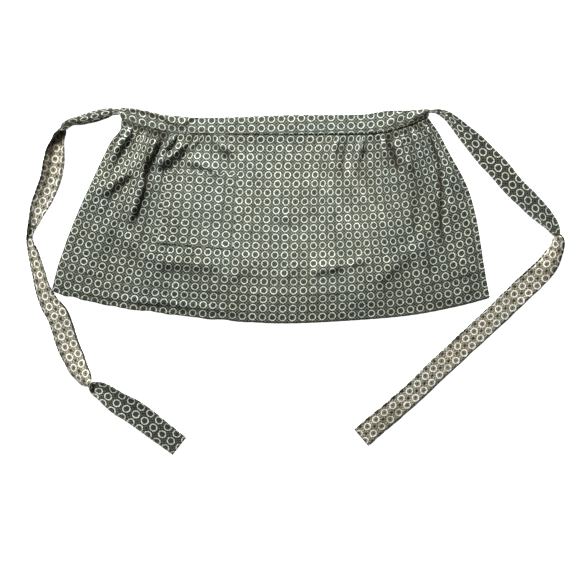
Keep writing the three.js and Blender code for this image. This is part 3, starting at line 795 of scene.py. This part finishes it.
TRELLIS = 3.0  # slanting lines to a repeat
RING_TALL = 1.03
RING_ROUND = 0.1  # how much of a circle is in the rings' octagon
OCTAGON = 0.707
OUTLINE_IN = (-1.5, -0.3)  # edges of the dark outline, from the ring's inner and outer edge
OUTLINE_OUT = (0.4, 1.3)
MIDDLE_EDGE = (-1.4, -0.6)
MIDDLE_HATCH = 0.4
SPOT_SOFT = 0.07
SPOT_WEAR = 0.25
THIN_INK = 0.42  # how light thin ink is, and its shares by ring and by place
THIN_BY_RING = 0.25
THIN_BY_PLACE = 0.75
BLEED = 2.4  # how far the print's edges wander
WHITE = (1, 1, 1, 1)
FRESH_AND_SHADED = (0.8, 0.8, 0.79, 1)  # cloth that isn't washed out, as a share of the cloth that is: partly fresher print, partly painted shade at the sides
DEEPER = (0.024, 0.024, 0.021, 1)  # what is then taken off it
DARKEST = (0.004, 0.004, 0.003, 1)  # and the least that is left
COOL = (0.978, 1.01, 1.014, 1)
WARM = (1.015, 1.0, 0.967, 1)
WORN = (0.80, 0.80, 0.78, 1)
SPECK = (0.55, 0.56, 0.53, 1)
SPECK_SHARE = 0.35
WEAVE = 2 * math.pi / 0.55  # plain weave, a pair of threads each 0.55 mm
WEAVE_HEIGHT = 0.03
WASH_HEIGHT = 0.9  # slight puckers of washed cotton
TURNED_SOFT = 0.2
BAND_TINT = (0.95, 0.97, 0.98, 1)
TIE_BACK_TINT = (1.0, 0.99, 0.97, 1)


def draw_print(t, where, look):
    """Octagonal rings in rows over a slanting hatch, with diamonds where four of them meet."""
    inner, outer, soft, spot = (look[key] for key in ("inner", "outer", "soft", "spot"))
    spots, cells = [], {}
    for k, pitch in enumerate(PITCH):
        turns = t.plus(t.math("DIVIDE", t.axes(where)[k], pitch), 0.5)
        cells[k] = t.math("FLOOR", turns)
        spots.append(t.times(t.minus(t.math("FRACT", turns), 0.5), pitch))
    x, y = spots
    hatch = 0.0
    for turn in ("ADD", "SUBTRACT"):
        slope = t.math(turn, t.math("DIVIDE", x, PITCH[0]), t.math("DIVIDE", y, PITCH[1]))
        gap = t.math("ABSOLUTE", t.minus(t.math("FRACT", t.times(slope, TRELLIS)), 0.5))
        hatch = t.math("MAXIMUM", hatch, t.until(gap, low=0.08, high=0.22))
    hatch = t.times(hatch, t.step(t.noise(where, scale=0.33, detail=1.0), low=0.15, high=0.62))
    x, y = (t.math("ABSOLUTE", value) for value in spots)
    y = t.times(y, RING_TALL)
    circle = t.math("SQRT", t.plus(t.times(x, x), t.times(y, y)))
    octagon = t.math("MAXIMUM", t.math("MAXIMUM", x, y), t.times(t.plus(x, y), OCTAGON))
    away = t.plus(t.times(octagon, 1 - RING_ROUND), t.times(circle, RING_ROUND))
    ring = t.times(t.step(away, inner - soft, inner + soft), t.until(away, outer - soft, outer + soft))
    outline = t.times(t.step(away, *(inner + edge for edge in OUTLINE_IN)),
                      t.until(away, *(outer + edge for edge in OUTLINE_OUT)))
    inside = t.until(away, *(inner + edge for edge in MIDDLE_EDGE))
    corner = (t.math("DIVIDE", value, pitch / 2) for value, pitch in zip((x, y), PITCH))
    corner = t.minus(2.0, t.plus(*corner))
    diamond = t.times(t.until(corner, spot - SPOT_SOFT, spot + SPOT_SOFT),
                      t.minus(1.0, t.times(hatch, SPOT_WEAR)))
    middle = t.mix(t.times(hatch, MIDDLE_HATCH), look["middle"], look["lattice"])
    chance = t.node("ShaderNodeTexWhiteNoise", noise_dimensions="2D")
    t.fill(chance, {"Vector": t.fill(t.node("ShaderNodeCombineXYZ"), cells)[0]})
    thin = t.until(t.noise(where, scale=0.46, detail=1.0), low=0.34, high=0.58)
    thin = t.plus(t.times(chance.outputs["Value"], THIN_BY_RING), t.times(thin, THIN_BY_PLACE))
    pale = tuple(THIN_INK * part for part in look["ring"][:3]) + (1,)
    colour = look["ground"]
    for share, paint in ((hatch, look["lattice"]), (diamond, look["diamond"]),
                         (outline, look["outline"]), (inside, middle),
                         (ring, t.mix(thin, look["ring"], pale))):
        colour = t.mix(share, colour, paint)
    return colour


def new_material(name):
    material = bpy.data.materials.new(name)
    material.use_nodes = True
    return material, Tree(material.node_tree), material.node_tree.nodes["Principled BSDF"]


def cotton(name, look, tint=WHITE, edge=None):
    """Printed cotton. edge is the width of the turned hem that shows the print's right side."""
    material, t, shader = new_material(name)
    place = t.layer("cloth")
    bleed = t.noise(place, scale=0.55, detail=3.0, output="Color")
    where = t.math("MULTIPLY_ADD", bleed, (BLEED, BLEED, 0), place, kind="ShaderNodeVectorMath")
    where = t.math("SUBTRACT", where, (BLEED / 2, BLEED / 2, 0), kind="ShaderNodeVectorMath")
    colour = draw_print(t, where, look)
    if edge is not None:
        inside = t.math("MINIMUM", *t.axes(t.layer("edge"))[:2])
        turned = draw_print(t, where, TIE_SIDE)
        colour = t.mix(t.step(inside, edge - TURNED_SOFT, edge + TURNED_SOFT), turned, colour)
    # the fade layer: how washed out the cloth is, partly painted light, and the painted shade
    washed_and_lit, painted_shade = t.axes(t.layer("fade"))[:2]
    fresh_and_shaded = colour
    for paint, kind in ((FRESH_AND_SHADED, "MULTIPLY"), (DEEPER, "SUBTRACT"), (DARKEST, "LIGHTEN")):
        fresh_and_shaded = t.mix(1.0, fresh_and_shaded, paint, kind)
    colour = t.mix(washed_and_lit, fresh_and_shaded, colour)
    # painted shade, tinted per channel; below the unshaded value it is painted light
    shade_factor = t.minus(1 + UNSHADED, painted_shade)
    grey = {k: t.math("POWER", shade_factor, power) for k, power in enumerate(SHADE_TINT)}
    grey = t.fill(t.node("ShaderNodeCombineColor"), grey)[0]
    warm = t.mix(t.step(t.noise(place, scale=0.012, detail=2.0), low=0.35, high=0.65), COOL, WARM)
    worn = t.step(t.noise(place, scale=0.035, detail=4.0, rough=0.6), low=0.25, high=0.8)
    speck = t.noise(place, scale=1.1, detail=3.0, rough=0.65)
    specks = t.times(t.step(speck, low=0.35, high=0.75), SPECK_SHARE)
    for share, paint in ((1.0, grey), (1.0, warm), (worn, WORN), (specks, SPECK), (1.0, tint)):
        colour = t.mix(share, colour, paint, "MULTIPLY")
    warp, weft = (t.math("SINE", t.times(axis, WEAVE)) for axis in t.axes(place)[:2])
    height = t.plus(t.times(t.times(warp, weft), WEAVE_HEIGHT),
                    t.times(t.noise(place, scale=0.16, detail=3.0, rough=0.55), WASH_HEIGHT))
    bump = t.fill(t.node("ShaderNodeBump"), {"Strength": 0.6, "Distance": MM, "Height": height})[0]
    t.fill(shader, {"Base Color": colour, "Roughness": t.plus(0.84, t.times(speck, 0.12)),
                    "Specular IOR Level": 0.22, "Sheen Weight": 0.12, "Sheen Roughness": 0.55,
                    "Normal": bump})
    return material


def thread_material():
    material, t, shader = new_material("sewing_thread")
    twist = t.noise(t.node("ShaderNodeTexCoord").outputs["Object"], 3000.0)
    t.fill(shader, {"Base Color": t.mix(twist, srgb(120, 124, 110), srgb(168, 170, 156)),
                    "Roughness": t.plus(0.6, t.times(twist, 0.2)), "Sheen Weight": 0.1})
    return material


def stage():
    """Camera, light and floor."""
    camera = link("camera", bpy.data.cameras.new("camera"))
    camera.data.lens, camera.data.sensor_width = LENS, SENSOR
    camera.location = (VIEW_CENTRE[0] * MM, VIEW_CENTRE[1] * MM, VIEW_WIDTH * MM * LENS / SENSOR)
    bpy.context.scene.camera = camera
    for name, place, size, power in LIGHTS:
        light = link(name, bpy.data.lights.new(name, "AREA"))
        light.data.size, light.data.energy = size, power
        light.location = place
        light.rotation_euler = (-Vector(place)).to_track_quat("-Z", "Y").to_euler()
    world = bpy.data.worlds.new("studio")
    world.use_nodes = True
    background = world.node_tree.nodes["Background"]
    background.inputs[0].default_value = WHITE
    background.inputs[1].default_value = WORLD_LIGHT
    bpy.context.scene.world = world
    bpy.context.scene.view_settings.view_transform = "Standard"
    data = bpy.data.meshes.new("floor")
    signs = ((-1, -1), (1, -1), (1, 1), (-1, 1))
    corners = [(x * FLOOR_HALF, y * FLOOR_HALF, FLOOR_Z) for x, y in signs]
    data.from_pydata(corners, [], [(0, 1, 2, 3)])
    floor = link("floor", data)
    material, t, shader = new_material("floor_white")
    mottle = t.noise(t.node("ShaderNodeTexCoord").outputs["Object"], 6.0)
    t.fill(shader, {"Base Color": t.mix(mottle, (0.93, 0.93, 0.925, 1), (0.95, 0.95, 0.945, 1)),
                    "Roughness": 0.9, "Emission Color": WHITE, "Emission Strength": FLOOR_GLOW})
    data.materials.append(material)


def skirt(materials):
    """Skirt as it lies: folds from the gathers, then wrinkles, puckers and hems."""
    columns = np.linspace(0, SKIRT_WIDTH, SKIRT_COLUMNS + 1)
    fine = np.arange(HEM_SHARE + HEM_FINE[0], HEM_SHARE + HEM_FINE[1], HEM_FINE[2])
    levels = np.unique(np.r_[-1.0, -0.5, np.linspace(0, 1, SKIRT_ROWS + 1), fine])
    grid, eased = skirt_grid(columns, levels)
    u, level = np.meshgrid(columns, levels, indexing="ij")
    plan, height = grid[..., :2], grid[..., 2]
    side = np.minimum(u, SKIRT_WIDTH - u)
    rest = LAID_OVER * (1 - LAID_EDGE * np.maximum(ramp(level, *HEM_ZONE), ramp(side, *LAID_SIDE)))
    lift = crease_height(plan, CREASES) + noise(plan, "sway") + noise(plan, "rumple")
    lift += np.sqrt(np.maximum(0, eased)) * noise(pairs(u, EASE_LENGTH * level), "ease")
    pucker = noise(pairs(u, PUCKER_LENGTH * level), "pucker") * sum(bell(u, *part) for part in GATHERS)
    for zone in PUCKER_ZONES:
        pucker *= ramp(level, *zone)
    hem = ramp(level, HEM_SHARE, HEM_SHARE + HEM_RAMP)
    sewn = HEM_PULL * ramp(level, HEM_SHARE - HEM_PULL_REACH, HEM_SHARE) * (1 - hem)
    height += ramp(level, *LAID_ZONE) * (np.maximum(lift, -rest) + rest + sewn) + pucker
    over = np.maximum(0, height - HIGHEST)
    height -= over - PRESSED * over
    hem = np.maximum(hem, 1 - ramp(side, SIDE_HEM, SIDE_HEM + SIDE_HEM_RAMP))
    below = CLOTH / 2 + HEM_LAYER * np.where(level > HEM_TOP, hem, 0)
    height[:] = np.maximum(height, below + FLOOR_GAP)
    shown = SKIRT_LENGTH - HEM_ROLL * ramp(u, *ROLL_ZONE)
    # the fade layer holds the washed out middle, partly painted light, and the painted shade in hollows
    # and along folds
    layers = {"cloth": pairs(u - SKIRT_RING[0], level * shown - SKIRT_RING[1]),
              "fade": wash_and_shade_layer(plan, hollows(grid, HOLLOW_REACH))}
    piece = shell("skirt", grid, below, CLOTH / 2, layers, materials)
    return piece, Patch(grid, CLOTH / 2, columns, levels)


def waistband(materials):
    """One strip folded lengthwise: back wall on the floor, fold at the top, front wall."""
    x = np.linspace(BAND[0, 0], BAND[-1, 0], BAND_COLUMNS + 1)
    top, seam = (np.interp(x, *curve.at(curve.fine).T) for curve in (top_curve, seam_curve))
    wall = np.linspace(0, 1, WALL_ROWS)
    turn = top - CLOTH / 2 - BAND_TURN
    rows = [(seam + (turn - seam) * share, FLOOR_REST) for share in wall]
    rows += [(turn + BAND_TURN * np.sin(angle), FLOOR_REST + BAND_TURN * (1 - np.cos(angle)))
             for angle in np.linspace(0, np.pi, TURN_ROWS)[1:-1]]
    rows += [(seam + (turn - seam) * share, FLOOR_REST + 2 * BAND_TURN) for share in wall[::-1]]
    grid = np.stack([np.stack([x, y, np.full_like(x, z)], axis=1) for y, z in rows], axis=1)
    plan, height = grid[..., :2], grid[..., 2]
    front, low = np.zeros(len(rows)), np.zeros(len(rows))
    front[-WALL_ROWS:] = np.sin(np.linspace(np.pi / 2, np.pi, WALL_ROWS)) * (1 - WAVE_LEFT) + WAVE_LEFT
    low[-WALL_ROWS:] = ramp(wall[::-1], *SEAM_REACH)
    gather = sum(bell(x, *part) for part in BAND_GATHERS)[:, None]
    wave = np.maximum(BAND_DIP, noise(plan, "band") * (BAND_WAVE[0] + BAND_WAVE[1] * gather))
    near_seam = noise(plan * (1, SEAM_STRETCH), "seam") * (SEAM_PLAIN + gather)
    height += front * (wave + crease_height(plan, BAND_CREASES)) + low * near_seam
    height[:, -len(SEAM_DROP):] -= SEAM_DROP + ramp(x, *LEFT_ZONE)[:, None] * LEFT_DROP
    arc = run(pairs(x, top))
    across = np.zeros(height.shape)
    steps = np.linalg.norm(np.diff(grid, axis=1), axis=2)
    across[:, :-1] = np.cumsum(steps[:, ::-1], axis=1)[:, ::-1]
    slant = BAND_SLANT * (x - SLANT_FROM)
    length = np.broadcast_to(BAND_STRETCH * arc[:, None], across.shape)
    # the fade layer holds the waistband's painted shade and light along its creases and seam
    layers = {"cloth": pairs(length - BAND_RING[0], across - BAND_RING[1] - slant[:, None]),
              "fade": washed_shade_layer(plan, BAND_SHADE)}
    piece = shell("waistband_cloth", grid, CLOTH / 2, CLOTH / 2, layers, materials)
    return piece, Patch(grid[:, -WALL_ROWS:], CLOTH / 2, arc, wall)


def pocket(materials, skirt_patch):
    """Patch laid on the skirt: its plan is straight-sided, its height follows the skirt's face."""
    shares = np.linspace(0, 1, POCKET_CELLS + 1)
    s, d = np.meshgrid(shares, shares, indexing="ij")
    corners = np.array(POCKET_CORNERS)
    upper = corners[0] + (corners[1] - corners[0]) * s[..., None]
    lower = corners[2] + (corners[3] - corners[2]) * s[..., None]
    grid = np.zeros(s.shape + (3,))
    plan = grid[..., :2]
    plan[:] = upper + (lower - upper) * d[..., None]
    width = np.linalg.norm(corners[1] - corners[0])
    tall = np.linalg.norm(corners[3] - corners[1])
    side = np.minimum(s, 1 - s)
    rim = np.minimum(side * width, (1 - d) * tall)
    close = skirt_patch.heights(plan)
    under = close
    for _ in range(BRIDGE_ROUNDS):
        padded = np.pad(under, 1, mode="edge")
        smooth = (padded[:-2, 1:-1] + padded[2:, 1:-1] + padded[1:-1, :-2] + padded[1:-1, 2:]) / 4
        under = np.maximum(under, (under + smooth) / 2)
    under = close + (under - close) * ramp(rim, *BRIDGE_ZONE)
    loose = np.sin(np.pi * s) ** MOUTH_ROUND * (1 - d) ** 2
    wave = noise(plan, "pocket") * np.minimum(1, POCKET_WAVE_RISE * side)
    grid[..., 2] = under + POCKET_EDGE + POCKET_GAP + POCKET_EASE * loose + np.maximum(wave, 0)
    column, level = skirt_patch.nearest((corners[1] + corners[3]) / 2)
    across = column - SKIRT_RING[0] + POCKET_SHIFT - (1 - s) * width
    down = level * SKIRT_LENGTH - SKIRT_RING[1] + (d - 0.5) * tall
    above = POCKET_EDGE + POCKET_BODY * ramp(rim, *POCKET_RIM) + POCKET_BODY * ramp(d, *POCKET_MOUTH)
    # the fade layer holds the washed out middle, partly painted light, and the painted shade in hollows
    # and along folds
    layers = {"cloth": pairs(across, down), "fade": wash_and_shade_layer(plan, hollows(grid, POCKET_HOLLOW))}
    piece = shell("pocket_cloth", grid, POCKET_EDGE, above, layers, materials)
    return piece, Patch(grid, above, shares * width, shares * tall)


def tie(name, rows, materials, seed, turn_over=None, lean=0.0):
    """Strip lofted along its table's line. turn_over names the rows between which the print of an
    edge folded over it is drawn, with no fold in the cloth, and lean how much wider one hem shows than
    the other."""
    path = Curve(rows)
    arc = np.linspace(0, path.length, int(path.length / TIE_STEP) + 1)
    place = np.interp(arc, path.arc, path.fine)
    line = path.at(place)
    place = place[:, None]
    ahead = unit(np.gradient(line[:, :2], axis=0))
    side = pairs(-ahead[:, 1], ahead[:, 0])
    roll, curl = np.radians(line[:, 2:3]), np.radians(line[:, 3:4])
    gather = np.clip(line[:, 4:5], *GATHER_RANGE)
    inset = 0.5 - TIE_HEM / TIE_WIDTH
    fine = [end * inset + step for end in (-1, 1) for step in (-TIE_FINE, TIE_FINE)]
    half = np.unique(np.r_[np.linspace(-0.5, 0.5, TIE_COLUMNS), fine])[::-1]
    bend = np.where(np.abs(curl) < LEAST_CURL, LEAST_CURL, curl)
    radius = TIE_WIDTH * gather / bend
    chord = radius * np.sin(bend * half)
    bulge = radius * (1 - np.cos(bend * half))
    out = chord * np.cos(roll) - bulge * np.sin(roll)
    up = SLUMP * chord * np.sin(roll) + bulge * np.cos(roll)
    out -= (out.max(axis=1, keepdims=True) + out.min(axis=1, keepdims=True)) / 2
    up -= up.min(axis=1, keepdims=True)
    length, across = np.meshgrid(arc, half * TIE_WIDTH, indexing="ij")
    crumple = np.clip(CRUMPLE[0] - gather, 0, CRUMPLE[1])
    pleats = noise(pairs(PLEAT_LENGTH * length, across), "pleat", seed)
    ripple = noise(pairs(length, across), "ripple", seed)
    free = ramp(place, *FREE_ZONE)
    up += free * np.maximum(0, RIPPLE + ripple + crumple * pleats)
    edge = noise(pairs(arc, np.zeros_like(arc)), "tie_edge", seed)
    out += free * edge[:, None]
    grid = np.zeros(out.shape + (3,))
    grid[..., :2] = line[:, None, :2] + side[:, None, :] * out[..., None]
    grid[..., 2] = FLOOR_REST + LAYER_STEP * (1 - ramp(place, *SLOT_ZONE)) + up
    squeezed = ramp(place, *SQUEEZE_ZONE) * SQUEEZE * (gather - 1)
    shown = across * (1 + squeezed) / TIE_STRETCH[1]
    left, right = across + TIE_WIDTH / 2, TIE_WIDTH / 2 - across
    rim = np.minimum(np.minimum(left, right), path.length - length)
    turned = 1 - ramp(rim, TIE_HEM - TIE_HEM_RAMP, TIE_HEM + TIE_HEM_RAMP)
    below = CLOTH / 2 + TIE_HEM_LAYER * turned * free
    over = 0.0
    if turn_over is not None:
        start, end = turn_over
        over = np.where(place < end, TIE_WIDTH * np.clip((place - start) / (end - start), 0, 1), 0.0)
    shown_rim = np.minimum(left - np.maximum(over, lean), right + lean)
    # the fade layer holds the ties' painted shade
    layers = {"cloth": pairs(length / TIE_STRETCH[0] - TIE_RING, shown - line[:, 5:6]),
              "edge": pairs(shown_rim, path.length - length + END_HEM),
              "fade": washed_shade_layer(grid[..., :2], TIE_SHADE)}
    piece = shell(name, grid, below, CLOTH / 2, layers, materials)
    return piece, Patch(grid, CLOTH / 2, arc, -half * TIE_WIDTH)


stage()
face = cotton("cotton_face", RIGHT_SIDE)
back = cotton("cotton_back", WRONG_SIDE)
band_face = cotton("cotton_band", RIGHT_SIDE, tint=BAND_TINT)
tie_face = cotton("cotton_tie_face", TIE_SIDE)
tie_back = cotton("cotton_tie_back", WRONG_SIDE, tint=TIE_BACK_TINT, edge=TIE_HEM)
thread = thread_material()

made = {"skirt": skirt([face, back]), "waistband": waistband([band_face, band_face])}
made["pocket"] = pocket([face, back], made["skirt"][1])
made["tie_left_cloth"] = tie("tie_left_cloth", TIE_LEFT, [tie_face, tie_back], LEFT_SEED,
                             turn_over=LEFT_OVER)
made["tie_right_cloth"] = tie("tie_right_cloth", TIE_RIGHT, [tie_face, tie_back], RIGHT_SEED,
                              lean=RIGHT_LEAN)
pieces = {key: piece for key, (piece, patch) in made.items()}
patches = {key: patch for key, (piece, patch) in made.items()}

# Lines of stitches, in each patch's own coordinates
hem_line, hem_ends = HEM_SHARE + HEM_RAMP + 0.008, 14
side_line, side_ends = 8, (0.03, 0.985)
band_line, band_ends = 0.90, 6
pocket_line, pocket_top, mouth_line, mouth_ends = 2, 1, 7.5, 1
tie_line, tie_start, tie_end = TIE_WIDTH / 2 - TIE_HEM + 0.9, 30, 3
ends = {key: (patch.a[-1], patch.b[-1]) for key, patch in patches.items()}
wide, tall = ends["pocket"]
sewing = {
    "skirt": [[(hem_ends, hem_line), (SKIRT_WIDTH - hem_ends, hem_line)]] + [
        [(column, level) for level in side_ends] for column in (side_line, SKIRT_WIDTH - side_line)],
    "waistband": [[(band_ends, band_line), (ends["waistband"][0] - band_ends, band_line)]],
    "pocket": [[(pocket_line, pocket_top), (pocket_line, tall - pocket_line),
                (wide - pocket_line, tall - pocket_line), (wide - pocket_line, pocket_top)],
               [(mouth_ends, mouth_line), (wide - mouth_ends, mouth_line)]]}
for key in ("tie_left_cloth", "tie_right_cloth"):
    sewing[key] = [[(tie_start, side), (ends[key][0] - tie_end, side)] for side in (tie_line, -tie_line)]
sewn = {key: stitches(key.replace("_cloth", "") + "_stitches", patches[key], lines, thread)
        for key, lines in sewing.items()}

NODES = {"skirt": ("skirt_panel", "skirt_cotton"), "waistband": ("waistband", "band_cotton"),
         "pocket": ("pocket", "pocket_cotton"), "tie_left_cloth": ("tie_left", "tie_cotton"),
         "tie_right_cloth": ("tie_right", "tie_cotton")}
for key, piece in pieces.items():
    node, slot_name = NODES[key]
    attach(piece, "root")
    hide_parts(node)
    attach(sewn[key], "root")
